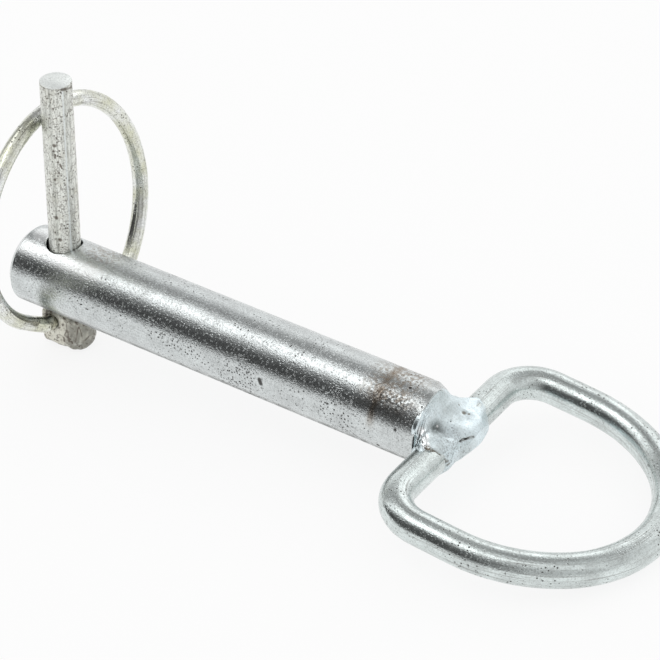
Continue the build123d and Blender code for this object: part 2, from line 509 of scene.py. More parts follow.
class LynchPinLook(bpy.types.PropertyGroup):
    radius: size_of("Shank radius", "Radius of the shank", 4.0)
    tip: size_of("Tip", "Height of the tip above the bar's axis", 57.0)
    head_top: size_of("Head top", "The head's top, below the bar's axis", 10.25)
    head_height: size_of("Head height", "Height of the head", 10.0)
    head_heel: size_of("Heel", "From the shank's axis back to the heel", 5.7)
    head_nose: size_of("Nose", "From the shank's axis to the nose", 6.6)
    head_half_width: size_of("Half width", "Half the head's width", 4.3)
    pale: color_of("Pale zinc", "The dull plating", (0.90, 0.92, 0.87))
    # Grey zinc colours the streaks, the painted shade lines down the shank and the painted dark
    # ring below the tip
    grey: color_of("Grey zinc", "Darker plating", (0.40, 0.41, 0.38))
    # Bright zinc colours the painted highlight along the drawn ridge, and the sheared tip
    bright: color_of("Bright zinc", "The drawn ridge and the sheared tip", (0.94, 0.98, 0.97))
    chalk: color_of("Chalk", "White rust on the head", (0.82, 0.79, 0.67))
    # The worn colour paints the painted shade on the rounded nose, the painted contact shadow along
    # the head's bottom and the darker patch round the bore
    worn: color_of("Worn", "The nose and the edges of the head", (0.17, 0.165, 0.14))
    pit: color_of("Pits", "Brown pits and specks", (0.10, 0.075, 0.055))


class WeldLook(bpy.types.PropertyGroup):
    pale: color_of("Pale zinc", "The smooth plating over the weld", (0.84, 0.95, 0.99))
    grey: color_of("Grey zinc", "Cloudy plating", (0.66, 0.73, 0.74))
    pool: color_of("Pool", "The grey pool on the bead", (0.15, 0.17, 0.17))
    bright: color_of("Bright zinc", "Where the bead ran over", (0.97, 0.98, 0.98))
    line: color_of("Freckles", "Small dark freckles", (0.25, 0.26, 0.26))
    rust: color_of("Burnt brown", "Brown spots and the rough toe", (0.22, 0.18, 0.13))
    pit: color_of("Cracks", "Cracks and the undercut", (0.02, 0.017, 0.013))


class StageLook(bpy.types.PropertyGroup):
    floor: color_of("Floor", "Colour of the floor", (0.90, 0.90, 0.90))
    camera_place: place_of(
        "Camera place", "Where the camera stands", (0.32416, -0.45426, 0.41066)
    )
    camera_aim: place_of(
        "Camera aim", "The point in the middle of the picture", (-0.00889, 0.01332, 0.02)
    )
    camera_roll: turn_of("Camera roll", "How far the camera leans to its right", 3.063)
    focal_length: bpy.props.FloatProperty(
        name="Focal length", description="On a sensor 36 mm wide", default=155.71,
        subtype="DISTANCE_CAMERA",
    )


class HitchPinLook(bpy.types.PropertyGroup):
    bar: bpy.props.PointerProperty(type=BarLook)
    handle: bpy.props.PointerProperty(type=HandleLook)
    ring: bpy.props.PointerProperty(type=RingLook)
    lynch_pin: bpy.props.PointerProperty(type=LynchPinLook)
    weld: bpy.props.PointerProperty(type=WeldLook)
    stage: bpy.props.PointerProperty(type=StageLook)


# The round bar


# The hole's rim: how far in, as a share of the countersink, and how far down
HOLE_RIM = ((0.12, 0.06), (0.3, 0.26), (0.92, 0.92), (1.0, 1.1), (1.0, 3.0))


def bar_mesh(look):
    """A turned bar whose rows of quads run round the cross hole and down through it."""
    bm = bmesh.new()
    layer = straight_layer(bm)
    radius = look.radius
    quads_round, quads_along = 64, 60
    patch, patch_quads, patch_rings = 7.6 * MM, 6, 7
    opposite, columns = quads_round // 2, patch_quads * 2

    def vert(x, y, z):
        made = bm.verts.new((x, y, z))
        made[layer] = Vector((x, y, z))
        return made

    def row_at(x, reach):
        turns = [2 * pi * k / quads_round for k in range(quads_round)]
        return [vert(x, reach * sin(turn), reach * cos(turn)) for turn in turns]

    free_profile = rounded_profile(
        [
            (-look.free_end, radius - look.chamfer - 1.0 * MM),
            (-look.free_end, radius - look.chamfer),
            (-look.free_end + look.chamfer, radius),
            (-patch, radius),
        ],
        0.5 * MM,
    )
    weld_profile = rounded_profile(
        [(patch, radius), (look.weld_end, radius), (look.weld_end, radius - 1.0 * MM)], 0.25 * MM
    )
    rows = [row_at(x, reach) for x, reach in free_profile[:-1]]
    middle = [row_at(-patch + 2 * patch * i / columns, radius) for i in range(columns + 1)]
    step = (look.weld_end - patch) / quads_along
    rows_after = [row_at(patch + step * i, radius) for i in range(1, quads_along)]
    rows_after += [row_at(x, reach) for x, reach in weld_profile[2:]]
    for run in (rows + middle[:1], middle[-1:] + rows_after):
        for one, two in zip(run, run[1:]):
            ring_faces(bm, one, two)

    open_quads = {
        (side + k) % quads_round for side in (0, opposite) for k in range(-patch_quads, patch_quads)
    }
    for one, two in zip(middle, middle[1:]):
        for k in range(quads_round):
            if k not in open_quads:
                j = (k + 1) % quads_round
                bm.faces.new((one[k], one[j], two[j], two[k]))

    rim = look.hole_radius + look.countersink
    hole_x, hole_y = -look.hole_behind, look.hole_beyond
    throat = []
    for side, up in ((0, 1), (opposite, -1)):
        low, high = (side - patch_quads) % quads_round, (side + patch_quads) % quads_round
        edge = [middle[0][(side + k) % quads_round] for k in range(-patch_quads, patch_quads)]
        edge += [middle[i][high] for i in range(columns)]
        edge += [middle[-1][(side + k) % quads_round] for k in range(patch_quads, -patch_quads, -1)]
        edge += [middle[i][low] for i in range(columns, 0, -1)]
        angles = [atan2(v.co.y - hole_y, v.co.x - hole_x) for v in edge]
        previous = edge
        for ring in range(1, patch_rings + 1):
            t = ring / patch_rings
            row = []
            for v, turn in zip(edge, angles):
                x = v.co.x * (1 - t) + (hole_x + rim * cos(turn)) * t
                y = v.co.y * (1 - t) + (hole_y + rim * sin(turn)) * t
                row.append(vert(x, y, up * sqrt(radius**2 - y * y)))
            ring_faces(bm, previous, row)
            previous = row
        for inward, down in HOLE_RIM:
            reach = rim - look.countersink * inward
            row = []
            for turn in angles:
                z = sqrt(radius**2 - (hole_y + rim * sin(turn)) ** 2) - look.countersink * down
                row.append(vert(hole_x + reach * cos(turn), hole_y + reach * sin(turn), up * z))
            ring_faces(bm, previous, row)
            previous = row
        throat.append(dict(zip([round(turn, 4) for turn in angles], previous)))
    top, bottom = throat
    order = sorted(top)
    for a, b in zip(order, order[1:] + order[:1]):
        bm.faces.new((top[a], top[b], bottom[b], bottom[a]))

    stray = [v for v in bm.verts if not v.link_faces]
    bmesh.ops.delete(bm, geom=stray, context="VERTS")
    for row in (rows[0], rows_after[-1]):
        centre = vert(row[0].co.x, 0, 0)
        for k in range(quads_round):
            bm.faces.new((row[k], row[(k + 1) % quads_round], centre))
    for v in bm.verts:
        draw_in(v, 1.0)
    bmesh.ops.recalc_face_normals(bm, faces=bm.faces)
    return bm


def bar_marks(skin, look):
    """Pits, scratches and the heat tint, each in its own place on the bar, with a painted highlight
    by the hole and a painted dark reflection low on the near flank.
    """
    radius = look.radius / MM

    def on_bar(x, turn):
        """A point by its distance from the cross hole and its turn from the near side."""
        return (x, -radius * cos(radians(turn)), radius * sin(radians(turn)))

    def band(along, turn):
        return skin.times(skin.between("X", *along), skin.round_it(*turn, -1.0))

    clusters = skin.marks(
        ((34.5, 16), 3.6), ((39.5, 12), 3.4), ((44.0, 8), 3.2), ((88, 5), 7.0), ((60, -14), 9.0),
        placed=on_bar,
    )
    pits_and_scratches = skin.marks(
        ((66.4, 2), (66.0, 7), 0.75), ((104.3, 16), 0.45), ((99.3, -26), 0.6), ((103.4, 79), 0.6),
        ((92.4, -22), (93.4, -28), 0.16), ((100.2, -33), (101.2, -39), 0.16),
        ((109.4, -4), (109.4, 16), 0.22),
        placed=on_bar,
    )
    spots = skin.any_of(skin.times(skin.specks(0.75, 0.36), clusters), pits_and_scratches)
    # Painted highlight: a bright band up the near flank beside the hole and a bright patch on top
    # by the hole, standing in for the lamp's reflection
    painted_highlight = skin.any_of(
        band((-11, 14, 3), (46, 70, 5)),
        skin.mark((-6.2, 0.0, radius), reach=3.6, soft=0.3),
    )
    ring = skin.times(
        band((96.4, 98.2, 0.6), (10, 130, 12)), skin.cloud(1.6, 3.0, 0.6, low=0.2, high=0.45)
    )
    mottle = skin.cloud(0.9, 4.0, 0.65, low=0.44, high=0.58)
    foot = skin.times(skin.mark(on_bar(11, 100), reach=8, soft=0.7), mottle)
    heat = skin.times(skin.times(band((93, 106, 3), (38, 150, 14)), mottle), 0.75)
    soot = skin.times(
        band((95, 107, 3), (22, 66, 12)), skin.cloud(0.6, 3.0, 0.6, low=0.44, high=0.54)
    )
    # Painted dark reflection: a broken dark band low along the near flank, standing in for the dark
    # room mirrored there
    painted_dark_reflection = skin.times(
        band((-9.5, 108, 1.5), (-42, -29, 4)), skin.cloud(2.5, 4.0, 0.65, low=0.25, high=0.6)
    )
    # The painted highlight is laid over the band and the patch by the hole
    skin.paint(painted_highlight, 0.8, look.bright)
    skin.paint(ring, 0.75, look.rust)
    skin.paint(foot, 0.5, look.rust)
    skin.paint(heat, 1.0, look.rust)
    skin.paint(soot, 0.8, look.pit)
    skin.paint(spots, 0.9, look.pit)
    skin.dent(spots, 0.15)
    skin.roughen(skin.any_of(spots, heat, soot), 0.25)
    # The painted dark reflection is laid on, and the metal is made duller and rougher under it
    skin.paint(painted_dark_reflection, 0.7, look.painted_dark_reflection)
    skin.metallic = skin.spread(painted_dark_reflection, 0.0, 1.0, 1.0, 0.6)
    skin.roughen(painted_dark_reflection, 0.3)


class HITCHPIN_OT_bar(bpy.types.Operator):
    """Build the round bar with its chamfered free end and cross hole"""

    bl_idname = "hitchpin.bar"
    bl_label = "Round Bar"

    def execute(self, context):
        look = context.scene.hitch_pin_look.bar
        skin = zinc_skin("bar_zinc_skin", look, 0.04, (0.12, 0.2), 0.45, 0.25)
        bar_marks(skin, look)
        piece = put_down("round_bar", bar_mesh(look), "bar_zinc", "hitch_pin", "pin_bar")
        piece.data.materials.append(skin.finish())
        piece.data.set_sharp_from_angle(angle=radians(40))
        return {"FINISHED"}


# The handle


def handle_path(look):
    """The centre line of the bent rod: across the bar, round two corners and along the bow."""
    lean = Matrix.Rotation(look.droop, 3, "Y")
    start = Vector((look.chord_x, 0, -look.below))
    side = look.half_width
    corner_steps, bow_steps = 12, 48
    half = [Vector((0, 0, 0)), Vector((0, side - look.corner, 0))]
    for i in range(1, corner_steps + 1):
        turn = pi / 2 * i / corner_steps
        along, in_from_side = look.corner * (1 - cos(turn)), look.corner * (1 - sin(turn))
        half.append(Vector((along, side - in_from_side, 0)))
    join_x, join_y = cos(look.bow_join), sin(look.bow_join)
    shoulder = (look.bow * join_y - side * (1 - join_x)) / (join_x + join_y - 1)
    end = (side * join_x - look.bow * (1 - join_y)) / (join_x + join_y - 1)
    for i in range(bow_steps + 1):
        turn = pi / 2 * (1 - i / bow_steps)
        if turn > look.bow_join:
            middle, reach = Vector((look.straight, side - shoulder, 0)), shoulder
        else:
            middle, reach = Vector((look.straight + look.bow - end, 0, 0)), end
        half.append(middle + Vector((cos(turn), sin(turn), 0)) * reach)
    other = [Vector((p.x, -p.y, p.z)) for p in reversed(half[1:-1])]
    return [start + lean @ p for p in half + other + [Vector((0, 0, 0))]]


class HITCHPIN_OT_handle(bpy.types.Operator):
    """Build the D-handle as one bent rod"""

    bl_idname = "hitchpin.handle"
    bl_label = "D-Handle"

    def execute(self, context):
        look = context.scene.hitch_pin_look.handle

        def shape(length, turn):
            return 0.04 * MM * noise.noise(Vector((length * 60, cos(turn), sin(turn))))

        bm = swept_rod(evenly(handle_path(look), 1.0 * MM), look.radius, 48, shape)
        skin = zinc_skin("rod_zinc_skin", look, 0.022, (0.14, 0.3), 0.3, 0.75)
        piece = put_down("bent_rod", bm, "rod_zinc", "hitch_pin", "d_handle")
        piece.data.materials.append(skin.finish())
        return {"FINISHED"}


# The spring ring


def ring_path(look):
    """The wire's centre line: a bent leg, one climbing turn and the other bent leg."""
    lean, turn, leg_angle = radians(6.3), radians(2.7), radians(36)
    rest_gap, drop = 0.25 * MM, 0.7 * MM
    shank_radius, knee_radius = 4.0 * MM, 5.0 * MM
    front_lead, back_lead = 4.5 * MM, 5.0 * MM
    front_knee, back_knee = 6.3 * MM, 8.2 * MM
    step, steps = 0.5 * MM, 240
    axis = Vector((cos(turn) * cos(lean), sin(turn) * cos(lean), sin(lean)))
    down = Vector((cos(turn) * sin(lean), sin(turn) * sin(lean), -cos(lean)))
    centre = Vector((
        look.ring_radius * sin(lean) - shank_radius - look.radius - rest_gap,
        look.sideways,
        BORE_Z + look.ring_radius - drop,
    ))
    share = (2 * pi - 2 * leg_angle) / (2 * pi)
    rise = look.pitch * share
    helix = []
    for i in range(steps + 1):
        t = i / steps
        swing = Matrix.Rotation(-leg_angle - t * share * 2 * pi, 3, axis)
        helix.append(centre + swing @ down * look.ring_radius + axis * rise * (t - 0.5))
    front_way = (helix[0] - helix[1]).normalized()
    back_way = (helix[-1] - helix[-2]).normalized()

    def in_bore(y):
        return Vector((BORE_X, y, BORE_Z))

    front = [in_bore(-step), in_bore(-front_knee), helix[0] + front_way * front_lead, helix[0]]
    back = [helix[-1], helix[-1] + back_way * back_lead, in_bore(back_knee), in_bore(step)]
    return (
        rounded_path(front, knee_radius, step) + helix[1:-1] + rounded_path(back, knee_radius, step)
    )


class HITCHPIN_OT_ring(bpy.types.Operator):
    """Build the twisted spring ring"""

    bl_idname = "hitchpin.ring"
    bl_label = "Spring Ring"

    def execute(self, context):
        look = context.scene.hitch_pin_look.ring
        bm = swept_rod(evenly(ring_path(look), 0.8 * MM), look.radius, 32)
        skin = zinc_skin("wire_zinc_skin", look, 0.012, (0.08, 0.2), 0.4, 0.85)
        piece = put_down("spring_wire", bm, "wire_zinc", "ring", "spring_ring")
        piece.data.materials.append(skin.finish())
        return {"FINISHED"}


# The lynch pin


# Where the shank isn't round: the turn in degrees, its width, and how far it stands out in mm
SHANK_FLATS = ((-26, 4, 0.05), (-17, 5, -0.05), (-76, 4, -0.04))
# The last rows of points before the sheared tip, in mm from it
TIP_ROWS = (1.2, 0.9, 0.6, 0.45, 0.3, 0.18, 0.08, 0.0)


def shank_foot(look):
    """The shank's lower end, which stands a little way inside the head."""
    return -(look.head_top + 1.0 * MM)


def shank_mesh(look):
    """The shank, with its drawn ridge, a few flats and the sheared tip."""
    foot = shank_foot(look)
    whole = look.tip - foot
    heights = [whole * i / 90 for i in range(88)] + [whole - gap * MM for gap in TIP_ROWS]
    path = [Vector((0, 0, foot + height)) for height in heights]
    wander, grain, under = 0.05 * MM, 0.03 * MM, 0.03 * MM
    edge_round, edge_wander, edge_drag = 0.12 * MM, 0.05 * MM, 0.35 * MM

    def shape(length, turn):
        angle = degrees(turn) if turn <= pi else degrees(turn) - 360
        from_tip = whole - length
        reach = wander * noise.noise(Vector((length * 45, 1.3 * cos(turn), 1.3 * sin(turn))))
        reach += grain * noise.noise(Vector((length * 300, 3 * cos(turn), 3 * sin(turn))))
        for place, width, height in SHANK_FLATS:
            reach += height * MM * gauss(angle, place, width)
        edge = edge_round + edge_wander * noise.noise(Vector((cos(turn) * 3, sin(turn) * 3, 7)))
        edge += edge_drag * gauss(angle, 8, 22)
        if from_tip < edge:
            t = 1 - from_tip / edge
            reach -= edge * (1 - sqrt(max(0.0, 1 - t * t)))
        return reach - under

    return swept_rod(path, look.radius, 72, shape, Vector((1, 0, 0)))


def plan_outline(look, inset, steps=10):
    """The head's outline from above, with big corners at the nose and small ones at the heel."""
    half = look.head_half_width - inset
    nose = look.head_nose - inset
    heel = look.head_heel - inset
    nose_corner = max(3.4 * MM - inset, 0.3 * MM)
    heel_corner = max(1.2 * MM - inset, 0.2 * MM)
    corners = (
        (nose - nose_corner, half - nose_corner, nose_corner, 0),
        (heel_corner - heel, half - heel_corner, heel_corner, 90),
        (heel_corner - heel, heel_corner - half, heel_corner, 180),
        (nose - nose_corner, nose_corner - half, nose_corner, 270),
    )
    outline = []
    for x, y, corner, start in corners:
        for i in range(steps + 1):
            turn = radians(start + 90 * i / steps)
            outline.append((x + corner * cos(turn), y + corner * sin(turn)))
    return outline


def head_mesh(look):
    """The forged head: a rounded block with a bored heel, lumpy faces and worn edges."""
    top = -look.head_top
    bottom = top - look.head_height
    top_round, bottom_round = 0.6 * MM, 1.6 * MM
    top_steps, bottom_steps = 4, 8
    bore_radius, lip = 2.16 * MM, 2.6 * MM
    rows = []
    for i in range(top_steps + 1):
        turn = pi / 2 * i / top_steps
        level = top - top_round * (1 - cos(turn))
        rows.append([(x, y, level) for x, y in plan_outline(look, top_round * (1 - sin(turn)))])
    for i in range(bottom_steps + 1):
        turn = pi / 2 * i / bottom_steps
        level = bottom + bottom_round * (1 - sin(turn))
        rows.append([(x, y, level) for x, y in plan_outline(look, bottom_round * (1 - cos(turn)))])
    tool_mesh = bpy.data.meshes.new("bore")
    tool = bmesh.new()
    bmesh.ops.create_cone(
        tool, cap_ends=True, segments=48, radius1=bore_radius, radius2=bore_radius, depth=20 * MM,
        matrix=Matrix.Translation((BORE_X, 0, BORE_Z)) @ Matrix.Rotation(pi / 2, 4, "X"),
    )
    tool.to_mesh(tool_mesh)
    tool.free()
    cutter = bpy.data.objects.new("bore", tool_mesh)
    bpy.context.scene.collection.objects.link(cutter)
    bm = evaluated(
        solid_rows(rows),
        ("BOOLEAN", {"operation": "DIFFERENCE", "solver": "EXACT", "object": cutter}),
        ("REMESH", {"mode": "VOXEL", "voxel_size": 0.2 * MM}),
        ("SMOOTH", {"factor": 0.5, "iterations": 4}),
    )
    bpy.data.objects.remove(cutter)
    bpy.data.meshes.remove(tool_mesh)
    layer = straight_layer(bm)
    bm.normal_update()
    lumps, grain, dents, highest = 0.18 * MM, 0.09 * MM, 0.5 * MM, 0.3 * MM
    swollen, worn, worn_height = 0.2 * MM, -0.1 * MM, 2.5 * MM
    moves = []
    for v in bm.verts:
        place = v.co
        relief = lumps * noise.noise(place * 260) + grain * noise.noise(place * 700)
        relief -= dents * max(0.0, noise.noise(place * 420 + Vector((5, 1, 2))) - 0.2)
        if hypot(place.x - BORE_X, place.z - BORE_Z) >= lip:
            relief += swollen if place.z > bottom + worn_height else worn
        moves.append((v, v.normal * min(relief, highest)))
    for v, move in moves:
        v.co += move
        v[layer] = Vector((v.co.z, v.co.x, v.co.y))
    return bm


def forged_skin(name, look):
    """Dull plating on a forging: streaks along it, fine crazing, chalky patches, brown specks."""
    skin = Finish(name, metallic=0.85)
    skin.raise_by(skin.cloud(0.35, 4.0, 0.65, low=0.2, high=0.8), 0.03)
    skin.color = rgba(look.pale)
    skin.paint(skin.streaks(0.4, 5, 0.46, 0.66, 4.0), 0.6, look.grey)
    clouds = skin.cloud(3, 4.0, 0.6, low=0.5, high=0.75)
    skin.rough = skin.spread(clouds, 0.0, 1.0, 0.34, 0.6)
    skin.paint(clouds, 0.35, look.chalk)
    crazing = skin.times(skin.crazing(1.1, 0.07), skin.cloud(2, low=0.4, high=0.6))
    skin.paint(crazing, 0.55, look.pit)
    specks = skin.times(skin.specks(0.85, 0.34), skin.cloud(2.2, 3.0, 0.6, low=0.44, high=0.56))
    fine = skin.times(skin.cloud(0.36, 2.0, 0.5, low=0.56, high=0.68), 0.55)
    spots = skin.any_of(skin.times(specks, 0.85), fine)
    skin.paint(spots, 1.0, look.pit)
    skin.dent(spots, 0.06)
    skin.roughen(spots, 0.3)
    return skin


def shank_marks(skin, look):
    """Painted shade lines down the shank, a painted highlight along the drawn ridge, a painted dark
    ring below the tip, its spots and the brown sheared rim.
    """
    foot, radius = shank_foot(look) / MM, look.radius / MM
    whole = look.tip / MM - foot

    def on_shank(height, turn):
        return (height - foot, radius * cos(radians(turn)), radius * sin(radians(turn)))

    # Painted shade: broken dark lines down the shank, beside the drawn ridge and along the flats
    lines = skin.any_of(
        skin.round_it(-23, -17, 3), skin.round_it(-80, -73, 4), skin.round_it(-8, -2, 3)
    )
    broken = skin.cloud(1.5, 3.0, 0.6, low=0.38, high=0.5)
    brown = skin.marks(
        ((40.9, -69), 0.65), ((39.3, -72), 0.4), ((38.2, -66), (37.4, -68), 0.3),
        ((36.2, -58), 0.4), ((35.6, -52), (34.4, -46), 0.3), ((31.0, -74), 0.5),
        ((19.7, -78), 0.7), ((13.3, -67), 0.7), ((49.6, -100), (49.4, -20), 0.16),
        ((56.6, -30), (55.9, 20), 0.55), ((56.7, -100), (56.6, -40), 0.2),
        placed=on_shank,
    )
    skin.paint(skin.times(lines, broken), 0.65, look.grey)
    # Painted highlight: a bright line down the flank of the drawn ridge
    skin.paint(skin.round_it(-31, -26, 2), 1.0, look.bright)
    # Painted shade: a darker ring just below the sheared tip, along its rounded rim
    skin.paint(skin.between("X", whole - 0.35, whole - 0.12, 0.06), 0.5, look.grey)
    skin.paint(brown, 0.8, look.pit)
    skin.paint(skin.between("X", whole - 0.06, whole + 1, 0.04), 0.8, look.bright)


def head_marks(skin, look):
    """Cream white rust on the head's flanks, painted shade on the rounded nose, a painted contact
    shadow along the bottom edge and a darker patch round the bore.
    """
    bottom = -(look.head_top + look.head_height) / MM
    bore = (BORE_Z / MM + 0.6, BORE_X / MM + 0.3, -look.head_half_width / MM)
    chalk = skin.cloud(5, 3.0, 0.6, low=0.25, high=0.5)
    pitted = skin.any_of(
        skin.times(
            skin.cloud(1.1, 3.0, 0.6, low=0.54, high=0.6), skin.cloud(4, low=0.36, high=0.5)
        ),
        skin.times(skin.crazing(2.4, 0.06), skin.cloud(3, low=0.45, high=0.55)),
    )
    nose = skin.times(skin.between("Y", 2.6, 9, 1.2), skin.cloud(1.8, low=0.1, high=0.5))
    skin.paint(chalk, 0.7, look.chalk)
    # Painted shade: the rounded nose darkened, broken by a cloud
    skin.paint(nose, 0.75, look.worn)
    # Painted contact shadow: a dark band along the head's bottom edge
    skin.paint(skin.between("X", bottom - 1, bottom + 0.75, 0.4), 0.8, look.worn)
    # Darker round the bore's mouth
    skin.paint(skin.mark(bore, reach=3.0, soft=0.3), 0.6, look.worn)
    skin.paint(pitted, 0.85, look.pit)
    skin.metallic = skin.spread(chalk, 0.0, 1.0, 0.7, 0.2)


class HITCHPIN_OT_lynch_pin(bpy.types.Operator):
    """Build the lynch pin's shank and forged head"""

    bl_idname = "hitchpin.lynch_pin"
    bl_label = "Lynch Pin"

    def execute(self, context):
        look = context.scene.hitch_pin_look.lynch_pin
        skin = forged_skin("shank_skin", look)
        shank_marks(skin, look)
        shank = put_down("forged_shank", shank_mesh(look), "lynch_zinc", "locking_pin", "lynch_pin")
        shank.data.materials.append(skin.finish())
        shank.data.set_sharp_from_angle(angle=radians(45))
        skin = forged_skin("head_skin", look)
        head_marks(skin, look)
        head = put_down("forged_head", head_mesh(look), "lynch_zinc", "locking_pin", "lynch_pin")
        head.data.materials.append(skin.finish())
        return {"FINISHED"}


# The weld


def line(*places):
    """A spot or a bent line on the weld, in mm."""
    return [Vector(place) for place in places]


# The end of the bar under the weld, and the bar's radius there, in mm
BAR_END, BAR_RADIUS = 109.5, 10.0
# The weld's cross sections from the bar's end to past the rod, in mm: the place along the
# bar, half the width, half the height, and the middle's place sideways and up
WELD_SECTIONS = (
    (BAR_END, 9.7, 9.7, 0.0, 0.0),
    (111.2, 11.0, 7.5, 0.0, -0.85),
    (114.0, 17.0, 5.3, 0.0, -1.7),
    (117.5, 8.6, 4.2, 2.4, -1.7),
    (119.4, 4.8, 2.1, 3.4, -1.7),
)
# Where the bead laps round the rod on its near side: the place across the bar, and how
# far the lap's skin stands from the rod's middle
WELD_LAP = (
    (-12.0, 3.5), (-11.7, 3.9), (-11.3, 4.35), (-10.7, 4.6), (-9.5, 4.65), (-7.0, 4.7), (-4.0, 4.4),
)
ROD_MIDDLE = Vector((114.0, 0.0, -1.7))
POOL = line((112.7, -5.0, 4.0))
PEAK = line((112.3, -9.7, 4.2))
UNDERCUT = line((109.5, -9.4, 2.9), (109.6, -10.0, -1.2))
FRONT_TOE = line((114.1, -11.3, 2.9), (116.5, -10.7, 1.5), (118.1, -8.3, -1.7))
BACK_TOE = line((114.7, 11.8, 2.3), (116.8, 11.1, 1.5))
CRACK = line(
    (117.9, -2.8, 1.0), (118.3, -1.7, 1.05), (118.4, -1.1, 0.75),
    (119.0, -0.1, 0.8), (119.3, 1.0, 0.4),
)
BURN = line((114.4, 4.6, 3.1))
# What stands out of the bead or lies in: where, how far and how wide, in mm
WELD_FORMS = (
    (POOL, -0.7, 1.8),
    (PEAK, 0.5, 1.3),
    (UNDERCUT, -0.8, 0.4),
    (BACK_TOE, 0.5, 1.4),
    (CRACK, -0.35, 0.25),
    (BURN, -0.3, 0.7),
)


def weld_section(x):
    """The section at a place along the weld, on a smooth curve through the given ones."""
    at = 1
    while at < len(WELD_SECTIONS) - 1 and WELD_SECTIONS[at][0] < x:
        at += 1
    one, two = WELD_SECTIONS[at - 1], WELD_SECTIONS[at]
    before = WELD_SECTIONS[max(at - 2, 0)]
    after = WELD_SECTIONS[min(at + 1, len(WELD_SECTIONS) - 1)]
    span = two[0] - one[0]
    t = (x - one[0]) / span
    section = []
    for column in range(1, 5):
        leave = (two[column] - before[column]) / (two[0] - before[0]) * span
        arrive = (after[column] - one[column]) / (after[0] - one[0]) * span
        section.append(
            one[column] * (2 * t**3 - 3 * t**2 + 1) + leave * (t**3 - 2 * t**2 + t)
            + two[column] * (3 * t**2 - 2 * t**3) + arrive * (t**3 - t**2)
        )
    return section


def gap_to(place, points):
    """How far a place lies from a spot, or from a bent line through several points."""
    gaps = [(place - points[0]).length]
    for start, finish in zip(points, points[1:]):
        run = finish - start
        share = held((place - start).dot(run) / run.length_squared)
        gaps.append((place - start - run * share).length)
    return min(gaps)


def draw_in(v, share):
    """Moves a point of the bar or the weld towards the bar's axis where the weld's heat melted
    the far upper edge of the bar's end."""
    depth, core = 2.1 * MM, 4.6 * MM
    reach = hypot(v.co.y, v.co.z)
    if reach > core:
        x, turn = v.co.x / MM, degrees(atan2(v.co.z, -v.co.y))
        round_it = held((turn - 98) / 24) * held((190 - turn) / 20)
        along = held((x - 106.0) / 3.5) * held((112.0 - x) / 2.5)
        way_in = share * depth * round_it * along * (0.4 + 0.6 * along)
        v.co.yz = v.co.yz * (reach - way_in) / reach


def weld_relief(place):
    """How far the weld's skin stands out or lies in at a place, in mm."""
    lumps, grain, overflow, lip_height, lip_wander = 0.28, 0.08, 0.75, 0.2, 0.6
    ripple, ripple_spacing, ripple_wander = 0.2, 0.75, 0.3
    flush_turn, flush_run = 58, 1.2
    turn = degrees(atan2(place.z, -place.y))
    from_edge = (place.x - BAR_END) + (BAR_RADIUS - hypot(place.y, place.z))
    slow = noise.noise(place / 4.0)
    relief = lumps * slow + grain * noise.noise(place / 1.4)
    relief += overflow * gauss(turn, 32, 17) * gauss(from_edge, 0.0, 1.0)
    if turn > flush_turn:
        relief *= held(from_edge / flush_run)
    fan = gauss(turn, 42, 30) * gauss(from_edge, 1.3, 1.5)
    relief += ripple * fan * sin(2 * pi * (from_edge + ripple_wander * slow) / ripple_spacing)
    lip = gauss(gap_to(place, FRONT_TOE), 0.0, 1.1)
    relief += lip * (lip_height + lip_wander * noise.noise(place / 0.8))
    for points, height, width in WELD_FORMS:
        relief += height * gauss(gap_to(place, points), 0.0, width)
    return relief


def weld_mesh():
    """The weld: a bead from the bar's end over the rod, rippled where it left the bar's edge."""
    sides, steps, sunk, slant = 120, 36, 1.2, 0.65
    turns = [2 * pi * k / sides for k in range(sides)]
    first, last = WELD_SECTIONS[0][0], WELD_SECTIONS[-1][0]
    rows = []
    for x in [first - sunk] + [first + (last - first) * i / steps for i in range(steps + 1)]:
        half_width, half_height, sideways, level = weld_section(max(x, first))
        rows.append([
            Vector((x, sideways + half_width * cos(t), level + half_height * sin(t))) * MM
            for t in turns
        ])
    lap = []
    for y, reach in WELD_LAP:
        row = []
        for t in turns:
            across = y + slant * max(0.0, cos(t)) * reach
            row.append((ROD_MIDDLE + Vector((reach * cos(t), across, reach * sin(t)))) * MM)
        lap.append(row)
    bm = evaluated(
        solid_rows(rows, lap),
        ("REMESH", {"mode": "VOXEL", "voxel_size": 0.18 * MM}),
        ("SMOOTH", {"factor": 0.5, "iterations": 6}),
    )
    layer = straight_layer(bm)
    bm.normal_update()
    moves = [(v, v.normal * weld_relief(v.co / MM) * MM) for v in bm.verts]
    for v, move in moves:
        v.co += move
        draw_in(v, 0.7)
        v[layer] = v.co
    return bm


